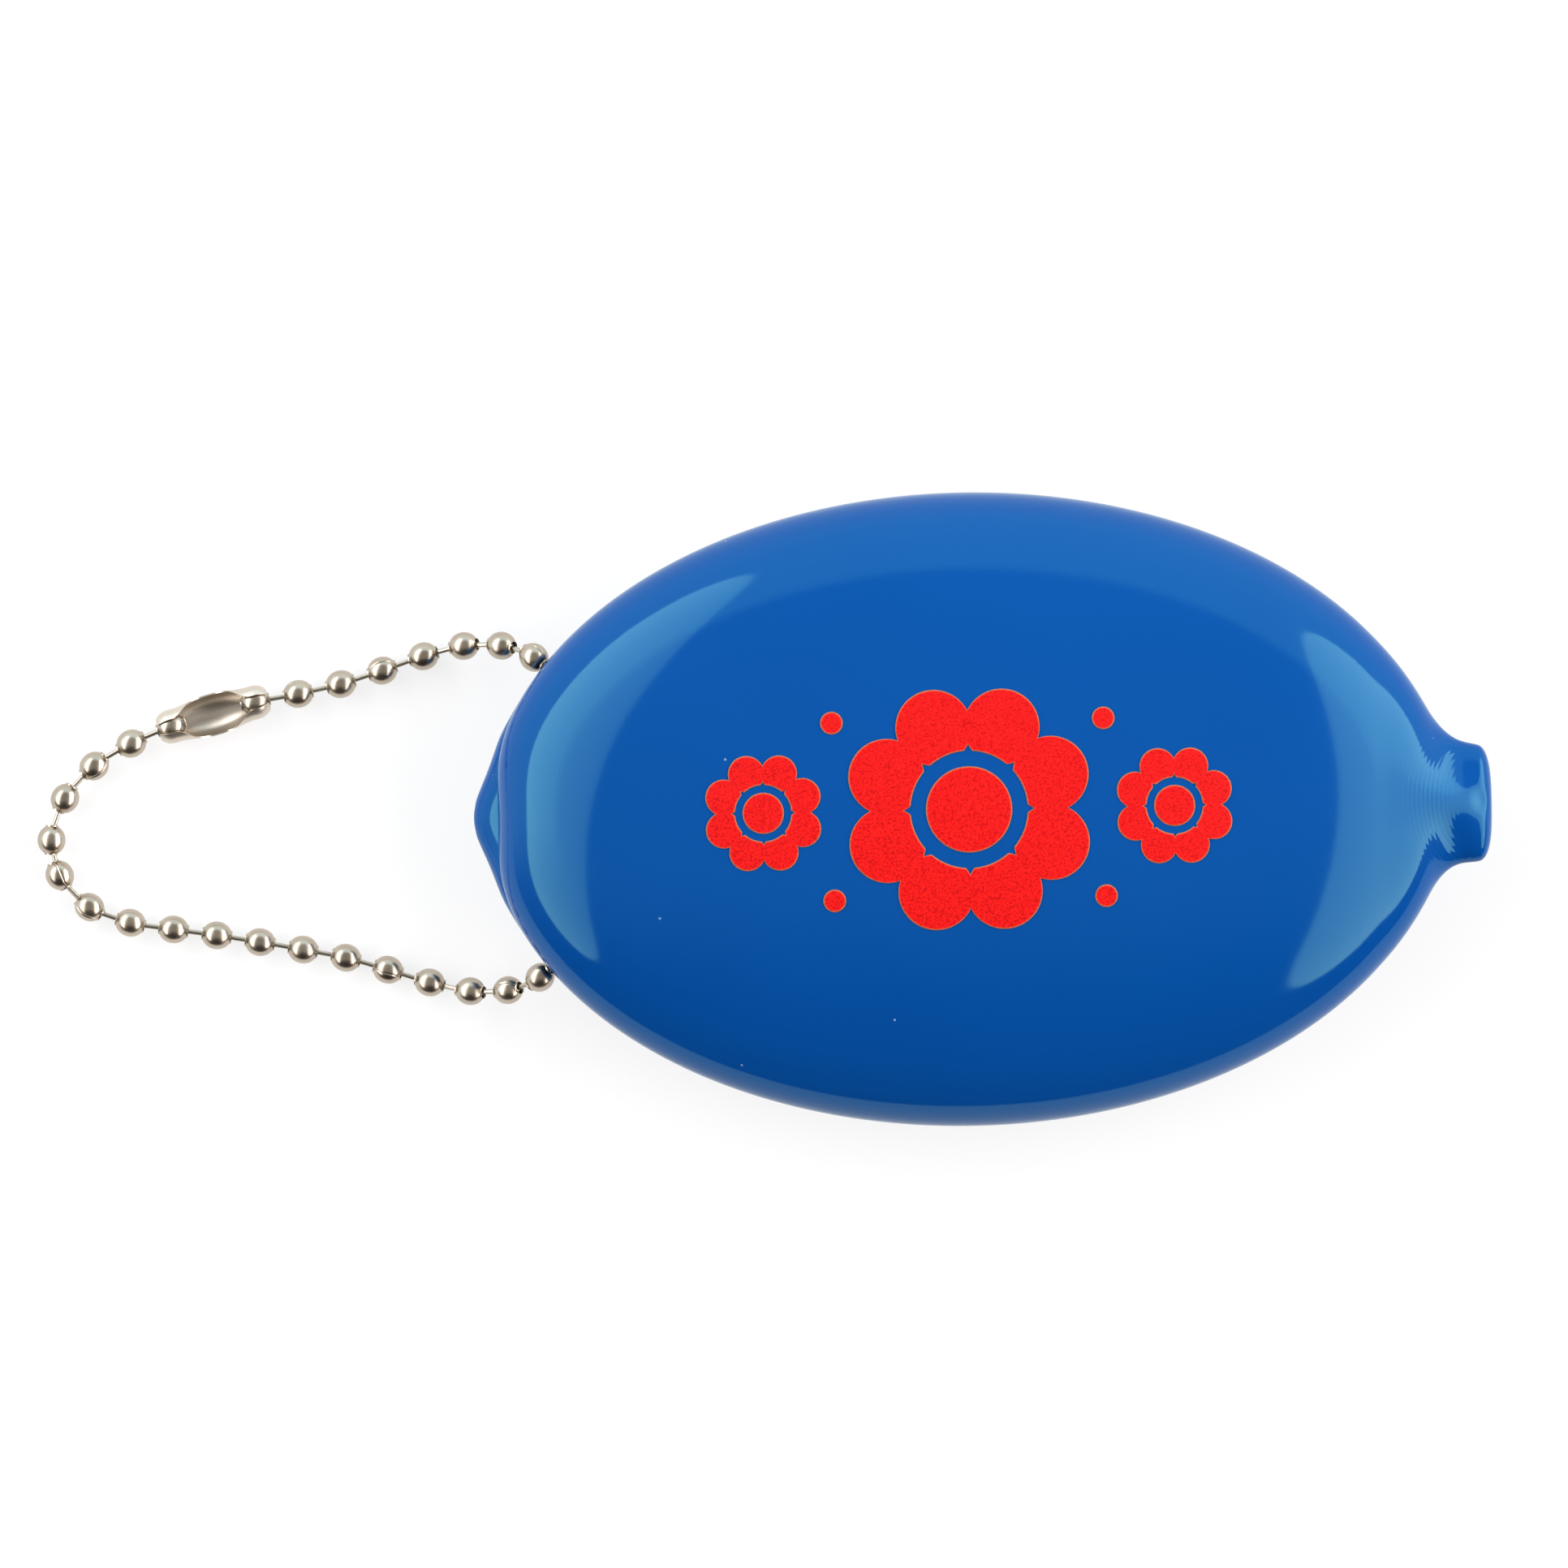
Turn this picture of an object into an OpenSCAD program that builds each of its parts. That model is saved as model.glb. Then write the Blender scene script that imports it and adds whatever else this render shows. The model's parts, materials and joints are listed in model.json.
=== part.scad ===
// Squeeze coin purse: an oval moulded purse with a slit along its back, a printed front and a loop of
// ball chain through one end. It lies on its back. X runs along it towards the neck, Y across it and
// Z up out of its front. The origin is the middle of the flat on which it rests.

/* [Purse] */
// Length of the oval, without its neck and its drip
purse_len = 76.2; // [68:0.2:90]
// Width of the oval
purse_w = 50.4; // [46:0.2:60]
// Height of the front dome above the rim
front_h = 9.5; // [8:0.1:13]
// Depth of the back below the rim, before its rest is flattened
back_h = 8.35; // [7.5:0.05:11]
// Thickness of the vinyl
wall = 1.6; // [1.2:0.1:2]
// How much of the back is flattened off where it rests
rest_cut = 0.35; // [0.2:0.05:0.6]

/* [Slit] */
// From the middle of the purse to the slit's end near the chain
slit_left = 27; // [22:0.5:28]
// From the middle of the purse to the slit's end near the neck
slit_right = 31; // [24:0.5:32]
// Gap between the two lips
slit_gap = 0.3; // [0.2:0.05:0.8]
// Gap between a lip and the shell, at its ends and under the rim
lip_gap = 0.3; // [0.2:0.05:0.5]

/* [Neck and drip] */
// Width of the neck
neck_w = 9.3; // [7:0.1:11]
// How far the neck stands out past the oval
neck_reach = 3.6; // [2:0.1:6]
// Radius of the edge round the neck's end
neck_corner = 1.2; // [0.5:0.1:2]
// Radius of the crown on the neck's front and back, which slope towards its end
crown_r = 50; // [40:1:60]
// Where along the purse that crown is centred
crown_x = 24; // [22:0.5:26]
// Thickness between the two crowns there
crown_t = 11; // [10.5:0.1:11.5]
// Radius of the hollow curves that run from the neck into the oval
neck_fillet = 4; // [3:0.1:6]
// Radius of the crown on the web behind those curves
web_r = 14; // [13.5:0.1:15]
// Thickness between the web's crowns at the slit's end
web_t = 9.4; // [9:0.1:9.6]
// How far the drip stands out past the oval
drip_reach = 1; // [0.5:0.1:2]
// Width of the drip
drip_w = 13; // [9:0.5:16]
// Thickness of the drip
drip_t = 5.2; // [4:0.1:6]
// How far the middle of the drip lies below the rim
drip_drop = 1.5; // [1:0.1:2]

/* [Print] */
// Number of petals of the large flower
petals = 8; // [6:1:10]
// Radius of the circle on which the large petals are centred
flower_r = 7; // [6:0.1:8]
// Radius of a large petal
petal_r = 3; // [2.8:0.1:3.2]
// Radius of the large flower's eye
eye_r = 3.4; // [2.8:0.1:3.8]
// Bare ring between an eye and its petals
eye_gap = 1.2; // [0.8:0.1:1.6]
// Size of a small flower as a share of the large one
small_share = 0.48; // [0.4:0.02:0.52]
// From the middle of the print to the middle of a small flower
small_x = 16.2; // [15.5:0.1:18]
// Radius of a dot between the flowers
dot_r = 0.9; // [0.6:0.1:1.1]
// Thickness of the ink
ink_t = 0.1; // [0.08:0.01:0.2]

/* [Chain] */
// Diameter of a bead
bead_d = 2.38; // [2.2:0.02:2.5]
// Thickness of a bead's metal
bead_wall = 0.2; // [0.16:0.02:0.22]
// Diameter of the hole at each end of a bead
bead_hole = 0.84; // [0.78:0.02:0.88]
// Diameter of a link's wire
wire_d = 0.4; // [0.3:0.02:0.44]
// Diameter of the head at each end of a link
head_d = 0.94; // [0.92:0.01:0.98]
// Play between a head and the hole that stops it
head_play = 0.05; // [0.03:0.01:0.08]
// From bead to bead along the chain
pitch = 3.5; // [3.3:0.05:3.8]
// How much closer the two beads at the far bend lie, where the chain is slack
slack = 0.6; // [0:0.05:0.6]
// Between the two beads that the connector holds
connector_span = 7; // [6:0.1:8.5]
// Thickness of the connector's sheet
connector_wall = 0.3; // [0.2:0.05:0.4]
// Gap between a bead and the connector round it
connector_fit = 0.1; // [0.06:0.02:0.2]
// How far the connector reaches past the middle of its bead
connector_over = 0.8; // [0.6:0.05:1]
// How high the connector's sides stand above the middle of its bead
connector_side = 0.55; // [0.4:0.05:0.7]

/* [Chain holes] */
// From the purse's middle line to the bead outside each hole
entry_y = 12.75; // [11.5:0.05:14]
// How far that bead lies below the rim
entry_drop = 1.9; // [1.5:0.1:2.5]
// From the outside of the wall to that bead, along the purse
entry_out = 2.55; // [2.2:0.05:3]
// Diameter of each hole
entry_hole = 3.2; // [2.9:0.1:3.6]

/* [Hidden] */
$fn = 96;
eps = 0.01;

// Half sizes of the oval, outside and inside, and the height of its rim above the rest
half_len = purse_len / 2;
half_w = purse_w / 2;
rim_z = back_h - rest_cut;
inner_len = half_len - wall;
inner_w = half_w - wall;
clear = purse_len;

// The chain's beads are numbered round the closed loop: 0 to 25 lie outside, from the upper hole to the
// lower one, and 26 to 32 inside the purse. The connector lies between beads 7 and 8.
outer_beads = 26;
inner_beads = 7;
bead_total = outer_beads + inner_beads;
held_bead = 7;
slack_bead = 12;

// Headings from bead to bead in degrees, from the upper hole round to the lower one
headings = [159, 179, 193, 198, 197, 192, 190, 195, 202, 210, 227, 251, 282,
            312, 338, 350, 351, 350, 349, 348, 343, 342, 347, 361, 381];
// Turn from link to link inside the purse
inner_turn = 11;
// Heights of the four beads nearest a hole, as a share of the way from the table up to the first
rise = [1, 0.572, 0.226, 0.022];
// Heights of the beads inside, from the first hole to the middle, against the bead outside the hole
inner_rise = [0.5, 0, -0.5, -0.7];

bead_r = bead_d / 2;
connector_r = bead_r + connector_fit + connector_wall;
entry_z = rim_z - entry_drop;
entry_x = -entry_out
    - half_len * sqrt(1 - pow(entry_y / half_w, 2) - pow(entry_drop / back_h, 2));

// Height of bead i. The two beads in the connector lie higher than the rest, because its sheet is
// under them, and the bead on each side of it lies half as much higher.
function from_hole(i) = min(i, outer_beads - 1 - i);
function from_connector(i) = i <= held_bead ? held_bead - i : i - held_bead - 1;
function table_height(i) = bead_r + (connector_r - bead_r) * max(0, 1 - from_connector(i) / 2);
function outer_height(i) = from_hole(i) < len(rise)
    ? bead_r + rise[from_hole(i)] * (entry_z - bead_r)
    : table_height(i);
function inner_height(k) = entry_z + inner_rise[min(k, inner_beads - 1 - k)];
function bead_height(i) = i < outer_beads ? outer_height(i) : inner_height(i - outer_beads);

// Length and heading of link i, which runs from bead i to the next one
function next(i) = (i + 1) % bead_total;
function link_length(i) = i == held_bead ? connector_span : i == slack_bead ? pitch - slack : pitch;
function link_heading(i) = i < outer_beads - 1
    ? headings[i]
    : 90 + (i - outer_beads + 1 - inner_beads / 2) * inner_turn;
function link_run(i) = sqrt(pow(link_length(i), 2) - pow(bead_height(next(i)) - bead_height(i), 2));
function step(i) = link_run(i) * [cos(link_heading(i)), sin(link_heading(i))];

// Running sums of the steps from link a up to link b, and what they miss the target by
function walk(a, b) = [for (i = a, sum = [0, 0]; i <= b; sum = sum + step(i), i = i + 1) sum];
function end_of(path, last) = path[len(path) - 1] + step(last);
upper_entry = [entry_x, entry_y];
lower_entry = [entry_x, -entry_y];
outer_walk = walk(0, outer_beads - 1);
outer_miss = lower_entry - upper_entry - outer_walk[outer_beads - 1];
inner_walk = walk(outer_beads - 1, bead_total - 1);
inner_miss = upper_entry - lower_entry - end_of(inner_walk, bead_total - 1);

// Places of the beads: what a walk misses its target by is spread evenly over its links
bead_at = concat(
    [for (i = [0:outer_beads - 1])
        let (p = upper_entry + outer_walk[i] + outer_miss * i / (outer_beads - 1))
        [p.x, p.y, bead_height(i)]],
    [for (k = [1:inner_beads])
        let (p = lower_entry + inner_walk[k] + inner_miss * k / (inner_beads + 1))
        [p.x, p.y, bead_height(outer_beads + k - 1)]]);

// A bead's own axis halves the angle between the links at its two ends
function unit(v) = v / norm(v);
link_dir = [for (i = [0:bead_total - 1]) unit(bead_at[next(i)] - bead_at[i])];
bead_axis = [for (i = [0:bead_total - 1]) unit(link_dir[(i + bead_total - 1) % bead_total] + link_dir[i])];

// A head rests just inside the hole that stops it
bead_bore_r = bead_r - bead_wall;
head_seat = sqrt(pow(bead_bore_r, 2) - pow(bead_hole / 2, 2))
    - sqrt(pow(head_d / 2, 2) - pow(bead_hole / 2, 2)) - head_play;
function head_out(i) = bead_at[i] + bead_axis[i] * (head_seat - (i == slack_bead ? slack / 2 : 0));
function head_in(i) = bead_at[i] - bead_axis[i] * (head_seat - (i == slack_bead + 1 ? slack / 2 : 0));

function two_digits(n) = n < 10 ? str("0", n) : str(n);
function bead_name(n) = str("bead_", two_digits(n));
function link_name(n) = str("link_", two_digits(n));
// Links 1 to 7 come before the connector and the rest after it
link_count = outer_beads - 2;
function link_index(n) = n <= held_bead ? n - 1 : n;

vinyl = [0.0, 0.33, 0.67];
ink = [0.95, 0.1, 0.1];
nickel = [0.78, 0.75, 0.7];

// Puts its children's Z axis along the line from p to q, with their origin at p
module along(p, q) {
    v = q - p;
    translate(p) rotate([0, acos(v.z / norm(v)), atan2(v.y, v.x)]) children();
}

// An ellipsoid about the middle of the rim
module ellipsoid(a, b, c) {
    translate([0, 0, rim_z]) scale([a, b, c]) sphere(r = 1);
}

// Everything above the rim, and everything below it
module above_rim() {
    translate([-clear, -clear, rim_z]) cube([2 * clear, 2 * clear, clear]);
}
module below_rim() {
    translate([-clear, -clear, rim_z - clear]) cube([2 * clear, 2 * clear, clear]);
}

// The oval form: a front dome and a shallower back that meet at the rim
module oval(a, b, front, back) {
    intersection() {
        ellipsoid(a, b, front);
        above_rim();
    }
    intersection() {
        ellipsoid(a, b, back);
        below_rim();
    }
}
module oval_outside() oval(half_len, half_w, front_h, back_h);
module oval_inside() oval(inner_len, inner_w, front_h - wall, back_h - wall);

// Two crowns back to back, centred at x along the purse
module lens(x, r, t) {
    intersection() {
        translate([x, 0, rim_z - r + t / 2]) sphere(r = r);
        translate([x, 0, rim_z + r - t / 2]) sphere(r = r);
    }
}

// The stub at the right end: a round rod with a rounded edge, flattened front and back
module neck() {
    root = slit_right - lip_gap;
    reach = half_len + neck_reach - root;
    intersection() {
        translate([root, 0, rim_z]) rotate([0, 90, 0]) rotate_extrude() {
            square([neck_w / 2 - neck_corner, reach]);
            square([neck_w / 2, reach - neck_corner]);
            intersection() {
                translate([neck_w / 2 - neck_corner, reach - neck_corner]) circle(r = neck_corner);
                square([neck_w, 2 * reach]);
            }
        }
        lens(crown_x, crown_r, crown_t);
    }
}

// The web that fills the corners between the neck and the oval, with a hollow curve on each side. It
// thins out away from the neck.
module neck_web() {
    curve_x = half_len + neck_fillet * 0.35;
    curve_y = neck_w / 2 + neck_fillet;
    intersection() {
        translate([0, 0, rim_z - web_t]) linear_extrude(2 * web_t) difference() {
            translate([slit_right, -curve_y]) square([curve_x - slit_right, 2 * curve_y]);
            for (side = [-1, 1]) translate([curve_x, side * curve_y]) circle(r = neck_fillet);
        }
        lens(slit_right, web_r, web_t);
    }
}

// The pointed drip at the left end
module drip() {
    drip_len = 6;
    translate([-half_len - drip_reach + drip_len, 0, rim_z - drip_drop])
        scale([drip_len, drip_w / 2, drip_t / 2]) sphere(r = 1);
}

// The part of the back that the two lips take up
module lip_window() {
    translate([-slit_left, -clear, rim_z - clear]) cube([slit_left + slit_right, 2 * clear, clear]);
}

// The hole between the bead outside the wall and the one inside it
module chain_hole(outside, inside) {
    along(outside, inside) cylinder(d = entry_hole, h = norm(inside - outside) + bead_r);
}

module front_shell() color(vinyl) difference() {
    union() {
        oval_outside();
        neck();
        neck_web();
        drip();
    }
    oval_inside();
    lip_window();
    chain_hole(bead_at[0], bead_at[bead_total - 1]);
    chain_hole(bead_at[outer_beads - 1], bead_at[outer_beads]);
}

// One half of the slit back, on the side of +Y
module lip() {
    intersection() {
        difference() {
            oval_outside();
            oval_inside();
        }
        translate([-slit_left + lip_gap, slit_gap / 2, 0])
            cube([slit_left + slit_right - 2 * lip_gap, half_w, rim_z - lip_gap]);
    }
}
module upper_lip() color(vinyl) lip();
module lower_lip() color(vinyl) mirror([0, 1, 0]) lip();

// A flower of overlapping round petals with an eye and a bare ring round it
module flower(share) {
    difference() {
        for (k = [0:petals - 1]) rotate(k * 360 / petals + 180 / petals)
            translate([flower_r * share, 0]) circle(r = petal_r * share);
        circle(r = (eye_r + eye_gap) * share);
    }
    circle(r = eye_r * share);
}

// The printed design: a large flower between two small ones, with dots between them
module design() {
    flower(1);
    dot_x = (flower_r + petal_r + small_x - (flower_r + petal_r) * small_share) / 2;
    dot_y = flower_r;
    for (side = [-1, 1]) {
        translate([side * small_x, 0]) flower(small_share);
        for (end = [-1, 1]) translate([side * dot_x, end * dot_y]) circle(r = dot_r);
    }
}

// The ink is a thin layer that follows the dome
module front_print() color(ink) intersection() {
    difference() {
        ellipsoid(half_len + ink_t + eps, half_w + ink_t + eps, front_h + ink_t + eps);
        ellipsoid(half_len + eps, half_w + eps, front_h + eps);
    }
    translate([0, 0, rim_z]) linear_extrude(2 * front_h) design();
}

// A hollow bead about its own axis, with a hole at each end
module bead(i) {
    along(bead_at[i], bead_at[i] + bead_axis[i]) difference() {
        sphere(r = bead_r);
        sphere(r = bead_bore_r);
        cylinder(d = bead_hole, h = 3 * bead_d, center = true);
    }
}

// A wire with a round head at each end, from bead i into the next one
module link(i) {
    from = head_out(i);
    to = head_in(next(i));
    span = norm(to - from);
    along(from, to) {
        cylinder(d = wire_d, h = span);
        sphere(d = head_d);
        translate([0, 0, span]) sphere(d = head_d);
    }
}

module threaded_beads() color(nickel) for (i = [outer_beads:bead_total - 1]) bead(i);
module threaded_links() color(nickel) for (i = [outer_beads - 1:bead_total - 1]) link(i);

// Half of the outline of a rod with round ends, to be turned round its long side
module rod_outline(r, span) {
    intersection() {
        union() {
            square([r, span]);
            circle(r = r);
            translate([0, span]) circle(r = r);
        }
        translate([0, -connector_over]) square([r, span + 2 * connector_over]);
    }
}

// The connector is a trough of thin sheet. Its ends are cupped round the two beads that it holds, and
// the middle of each long edge is cut down in a curve.
module connector() {
    from = bead_at[held_bead];
    to = bead_at[held_bead + 1];
    span = norm(to - from);
    scallop_r = span * 0.42;
    color(nickel) along(from, to) difference() {
        rotate_extrude() difference() {
            rod_outline(connector_r, span);
            rod_outline(connector_r - connector_wall, span);
        }
        translate([-2 * span - connector_side, -span, -span]) cube([2 * span, 2 * span, 3 * span]);
        translate([-scallop_r - connector_side / 2, 0, span / 2]) rotate([90, 0, 0])
            cylinder(r = scallop_r, h = 4 * connector_r, center = true);
    }
}

front_shell();
upper_lip();
lower_lip();
front_print();
threaded_beads();
threaded_links();
connector();
for (n = [1:outer_beads]) color(nickel) bead(n - 1);
for (n = [1:link_count]) color(nickel) link(link_index(n));
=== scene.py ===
"""Looks of a squeeze coin purse: a blue moulded oval with a slit back, a printed front and a loop of
ball chain. It lies on its back on a white table and is seen from straight above."""

import json
import math

import bpy
import numpy as np
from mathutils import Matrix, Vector


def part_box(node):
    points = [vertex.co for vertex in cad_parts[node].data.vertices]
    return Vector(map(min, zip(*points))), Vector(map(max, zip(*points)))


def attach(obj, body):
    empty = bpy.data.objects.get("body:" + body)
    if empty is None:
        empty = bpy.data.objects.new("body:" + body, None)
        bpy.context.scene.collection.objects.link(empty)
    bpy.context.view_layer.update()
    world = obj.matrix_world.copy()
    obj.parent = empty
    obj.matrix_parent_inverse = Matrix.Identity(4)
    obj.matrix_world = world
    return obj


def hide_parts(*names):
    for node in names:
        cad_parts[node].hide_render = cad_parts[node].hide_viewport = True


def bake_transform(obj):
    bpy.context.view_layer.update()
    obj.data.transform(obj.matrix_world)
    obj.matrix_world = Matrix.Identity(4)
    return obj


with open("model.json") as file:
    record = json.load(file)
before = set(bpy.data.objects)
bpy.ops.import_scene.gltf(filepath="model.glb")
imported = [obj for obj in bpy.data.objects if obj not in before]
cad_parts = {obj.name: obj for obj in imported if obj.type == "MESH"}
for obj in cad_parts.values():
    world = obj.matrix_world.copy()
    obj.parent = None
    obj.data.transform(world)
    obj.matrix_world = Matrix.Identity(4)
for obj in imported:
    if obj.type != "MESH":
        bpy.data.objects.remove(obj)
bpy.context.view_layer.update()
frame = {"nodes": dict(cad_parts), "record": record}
scene = bpy.context.scene

# The camera looks straight down from 0.9 m. The purse is turned a little in its view, so that its
# neck points up to the right, and it lies right of the middle, with its chain to the left.
eye = bpy.data.objects.new("camera", bpy.data.cameras.new("camera"))
eye.location = (-0.01452, 0.00228, 0.900)
eye.rotation_euler = (0, 0, math.radians(-1.1))
eye.data.sensor_width = 36
eye.data.lens = 257.6
eye.data.clip_start, eye.data.clip_end = 0.05, 20
scene.collection.objects.link(eye)
scene.camera = eye

# The moulding. The real purse is one hollow piece of glossy vinyl about 1.6 mm thick, dipped on a
# metal form. The form leaves a flattened neck at one end and the last drip a small ledge at the other.
# Shapes are worked out in millimetres, with X along the purse to its neck and Z up from the table.
MM = 0.001
HALF_LEN, HALF_WIDTH, FRONT, BACK, RIM = 38.1, 25.2, 9.5, 8.35, 8.0
WALL = 1.6
SLIT_LEFT, SLIT_RIGHT, HALF_GAP, GAP_CLOSES = -27.0, 31.0, 0.09, 2.0
NECK_TIP, ROUND_FROM = 41.7, 40.5
# Where the neck's width, front and back leave the oval, and their knots of place, half size and slope
NECK_WIDTH = 32.0, ((36.6, 7.55, -1.85), (39.6, 4.82, -0.16))
NECK_FRONT = 32.5, ((39.6, 2.40, -0.36),)
NECK_BACK = 33.0, ((39.6, 2.85, -0.13),)
SHARP = 38
BLUE, CLOUDY_BLUE = (0.001, 0.061, 0.285), (0.0015, 0.069, 0.315)
# the first of these is painted light: a lighter blue for the rims, where the vinyl is seen edge-on
PAINTED_RIM_LIGHT_BLUE, DUSTY_BLUE = (0.0, 0.135, 0.36), (0.5, 0.66, 0.8)


def ramp(x, start, end):
    """0 before start, 1 after end, and 3 t^2 - 2 t^3 in between."""
    t = np.clip((x - start) / (end - start), 0, 1)
    return t * t * (3 - 2 * t)


def oval_size(x, half_len, size):
    """Half size of an ellipse at x along its long axis."""
    return size * np.sqrt(np.clip(1 - (x / half_len) ** 2, 0, 1))


def end_size(x, size, leave, knots):
    """Half size of a section at x: the oval's ellipse up to leave, then a cubic from each knot to the
    next that keeps its value and its slope at both, and the last slope from there on."""
    y0 = float(oval_size(leave, HALF_LEN, size))
    last = (leave, y0, -size * size * leave / (HALF_LEN**2 * y0))
    made = oval_size(x, HALF_LEN, size)
    for knot in knots:
        h = knot[0] - last[0]
        t = np.clip((x - last[0]) / h, 0, 1)
        cubic = (
            (2 * t**3 - 3 * t**2 + 1) * last[1]
            + (t**3 - 2 * t**2 + t) * h * last[2]
            + (3 * t**2 - 2 * t**3) * knot[1]
            + (t**3 - t**2) * h * knot[2]
        )
        made = np.where(x > last[0], cubic + knot[2] * np.clip(x - knot[0], 0, None), made)
        last = knot
    return made


def stations():
    """Places of the sections along X and their half sizes, each as an array: sine steps at the left
    pole, even steps over the slit, finer ones to the neck, and a rounded end face. The outer skin
    gives x, half width, front height and back depth, and the inner skin gives x and a share of its
    largest section."""
    near = 0.02
    pole_steps, slit_steps, neck_steps, tip_steps = 50, 86, 38, 16
    a = np.linspace(0, math.acos(-SLIT_LEFT / HALF_LEN), pole_steps)
    left = -HALF_LEN * np.cos(a)
    even = np.linspace(SLIT_LEFT, SLIT_RIGHT, slit_steps)[1:-1]
    middle = np.r_[SLIT_LEFT + near, even, SLIT_RIGHT - near]
    right = np.r_[SLIT_RIGHT, SLIT_RIGHT + near, np.linspace(SLIT_RIGHT, ROUND_FROM, neck_steps)[1:]]
    turn = np.linspace(0, math.pi / 2, tip_steps)[1:]
    tip = ROUND_FROM + (NECK_TIP - ROUND_FROM) * np.sin(turn) ** 0.8
    x = np.r_[left, middle, right, tip]
    share = np.r_[np.ones(len(x) - len(turn)), np.cos(turn) ** 0.62]
    width = end_size(x, HALF_WIDTH, *NECK_WIDTH) * share
    front = end_size(x, FRONT, *NECK_FRONT) * share
    back = end_size(x, BACK, *NECK_BACK) * share
    inner_len = HALF_LEN - WALL
    b = np.linspace(0, math.acos(-SLIT_LEFT / inner_len), pole_steps)
    c = np.linspace(math.acos(SLIT_RIGHT / inner_len), 0, len(right) + len(turn))
    inner_x = np.r_[-inner_len * np.cos(b), middle, inner_len * np.cos(c)]
    return x, width, front, back, inner_x, oval_size(inner_x, inner_len, 1.0)


def turns():
    """Angles round a section, from the +Y rim over the front to the -Y rim and back under the slit.
    They crowd at the two rims, where the section bends most, and two lie close beside each rim."""
    steps, crowding, near = 176, 0.25, 0.003
    t = np.linspace(0, 2 * math.pi, steps, endpoint=False)
    t = t - crowding * np.sin(2 * t)
    return np.sort(np.r_[t, near, math.pi - near, math.pi + near, 2 * math.pi - near])


def skin(x, width, front, back, angle, power):
    """A tube of sections across X: y = w cos, z = front or back height times sin, each of the two
    raised to the power 2 / power, which squares the section where power is above 2."""
    c, s = np.cos(angle)[None], np.sin(angle)[None]
    e = (2 / power)[:, None]
    y = width[:, None] * np.sign(c) * np.abs(c) ** e
    z = np.where(s > 0, front[:, None], back[:, None]) * np.sign(s) * np.abs(s) ** e
    return np.stack([np.broadcast_to(x[:, None], y.shape), y, z], -1)


def with_drip(p):
    """Moves the left end of the outer skin along X. Above the rim it is flattened by a bell curve, and
    below the rim it runs out almost evenly to a ledge at the depth deep, whose outline stands a bell
    curve beyond the oval's and is gone at the depth low."""
    x, y, z = p[..., 0], np.abs(p[..., 1]), p[..., 2]
    deep, low = 1.8, 6.5
    drip, drip_half = 1.2, 3.65
    dent, dent_half, dent_high = 0.8, 4.5, 3.2
    edge = HALF_LEN * np.sqrt(np.clip(1 - (y / HALF_WIDTH) ** 2, 0, 1))
    lost = edge - HALF_LEN * np.sqrt(np.clip(1 - (y / HALF_WIDTH) ** 2 - (deep / BACK) ** 2, 0, 1))
    out = drip * np.exp(-((y / drip_half) ** 2)) + lost * (1 - ramp(y, 6, 11))
    above = np.clip(z, 0, None) / dent_high
    flat = dent * np.exp(-((y / dent_half) ** 2)) * np.exp(-(above**2))
    down = np.clip(-z / deep, 0, 1)
    ledge = down * (1.15 - 0.15 * down)
    moved = flat * (1 - ledge) - out * ledge
    moved = moved * (1 - ramp(-z, deep + 0.4, low)) * ramp(-x, 18, 30)
    return p + np.stack([moved, 0 * moved, 0 * moved], -1)


def with_pinch(p):
    """Pinches the front of the neck to a ridge: its height falls off as a bell curve beside the middle,
    most at the neck's waist. The neck also bends a little towards -Y."""
    x, y, z = p[..., 0], p[..., 1], p[..., 2]
    pinch, waist_at, waist_half, ridge_half, bend = 0.26, 38.5, 2.0, 2.3, 0.28
    waist = pinch * np.exp(-(((x - waist_at) / waist_half) ** 2))
    lower = np.where(z > 0, z * waist * (1 - np.exp(-((y / ridge_half) ** 2))), 0)
    return p - np.stack([0 * x, bend * ramp(x, 37, 41), lower], -1)


def with_rest(p):
    """Lifts the rim to its height above the table and flattens the back that lies on it, with a soft
    edge: z becomes (z + sqrt(z^2 + k^2)) / 2 in the lowest few millimetres."""
    k_squared, soft_below = 0.03, 3
    z = p[..., 2] + RIM
    soft = (z + np.sqrt(z * z + k_squared)) / 2
    return np.concatenate([p[..., :2], np.where(z < soft_below, soft, z)[..., None]], -1)


def with_dimple(p):
    """A shallow dent near the end of the neck's front, a bell curve of the distance from its middle."""
    (at_x, at_y), half_x, half_y, deep = (40.75, -0.1), 0.5, 0.8, 0.22
    near = np.exp(-(((p[..., 0] - at_x) / half_x) ** 2) - ((p[..., 1] - at_y) / half_y) ** 2)
    lower = np.where(p[..., 2] > RIM, deep * near, 0)
    return p - np.stack([0 * lower, 0 * lower, lower], -1)


def with_slit(p, side, half_len):
    """Moves one lip off the purse's middle line by half of the slit, which closes at its two ends."""
    x, y = p[..., 0], p[..., 1]
    opens = ramp(x, SLIT_LEFT, SLIT_LEFT + GAP_CLOSES)
    gap = HALF_GAP * opens * (1 - ramp(x, SLIT_RIGHT - GAP_CLOSES, SLIT_RIGHT))
    share = np.clip(1 - np.abs(y) / oval_size(x, half_len, HALF_WIDTH), 0, 1)
    return p + np.stack([0 * x, side * gap * share, 0 * x], -1)


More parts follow.
